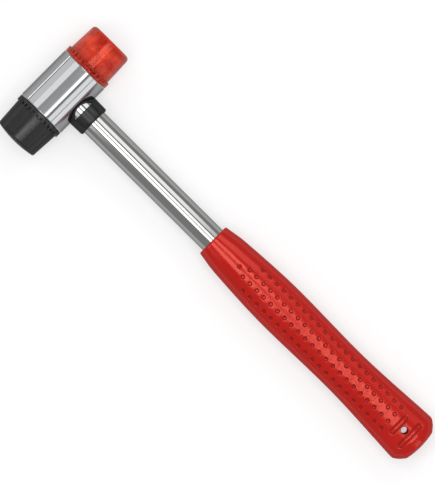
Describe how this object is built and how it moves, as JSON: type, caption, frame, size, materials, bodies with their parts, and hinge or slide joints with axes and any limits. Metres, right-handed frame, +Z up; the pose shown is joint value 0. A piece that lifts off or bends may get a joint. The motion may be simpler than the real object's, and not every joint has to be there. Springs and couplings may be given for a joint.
{
  "type": "dead blow hammer",
  "caption": "Dead blow hammer with a shot-filled steel head, a hard clear red face, a soft black face, a chromed tube handle and a dimpled red grip.",
  "frame": {"origin": "under the middle of the whole hammer, on the surface that it lies on", "axes": "+X along the head towards the red face, +Y along the handle towards the head, +Z up from the surface it lies on"},
  "size_m": [0.0756, 0.289, 0.03],
  "materials": {
    "barrel_steel": "satin ground steel, bare",
    "red_face_plastic": "clear red cast plastic, glossy",
    "black_face_rubber": "satin black rubber",
    "shot_steel": "plain bright steel",
    "collar_plastic": "black moulded plastic, half gloss",
    "tube_chrome": "polished chrome plate",
    "plug_plastic": "plain black plastic",
    "grip_vinyl": "half-gloss red vinyl with pressed dimples"
  },
  "bodies": {
    "hammer_body": {"head_barrel": "barrel_steel", "red_shot_disc": "shot_steel", "black_shot_disc": "shot_steel", "collar": "collar_plastic", "handle_tube": "tube_chrome", "tube_plug": "plug_plastic", "grip": "grip_vinyl"},
    "red_face_body": {"red_face": "red_face_plastic"},
    "black_face_body": {"black_face": "black_face_rubber"},
    "shot_charge": {"shot_01": "shot_steel", "shot_02": "shot_steel", "shot_03": "shot_steel", "shot_04": "shot_steel", "shot_05": "shot_steel", "shot_06": "shot_steel", "shot_07": "shot_steel", "shot_08": "shot_steel", "shot_09": "shot_steel", "shot_10": "shot_steel", "shot_11": "shot_steel", "shot_12": "shot_steel", "shot_13": "shot_steel", "shot_14": "shot_steel", "shot_15": "shot_steel", "shot_16": "shot_steel", "shot_17": "shot_steel", "shot_18": "shot_steel", "shot_19": "shot_steel", "shot_20": "shot_steel", "shot_21": "shot_steel", "shot_22": "shot_steel", "shot_23": "shot_steel", "shot_24": "shot_steel", "shot_25": "shot_steel", "shot_26": "shot_steel"}
  },
  "joints": [
    {"name": "shot_travel", "type": "slide", "parent": "hammer_body", "child": "shot_charge", "axis": [1, 0, 0], "range_m": [-0.0042, 0.0042]},
    {"name": "red_face_off", "type": "slide", "parent": "hammer_body", "child": "red_face_body", "axis": [1, 0, 0], "range_m": [0, 0.012]},
    {"name": "black_face_off", "type": "slide", "parent": "hammer_body", "child": "black_face_body", "axis": [-1, 0, 0], "range_m": [0, 0.012]}
  ]
}
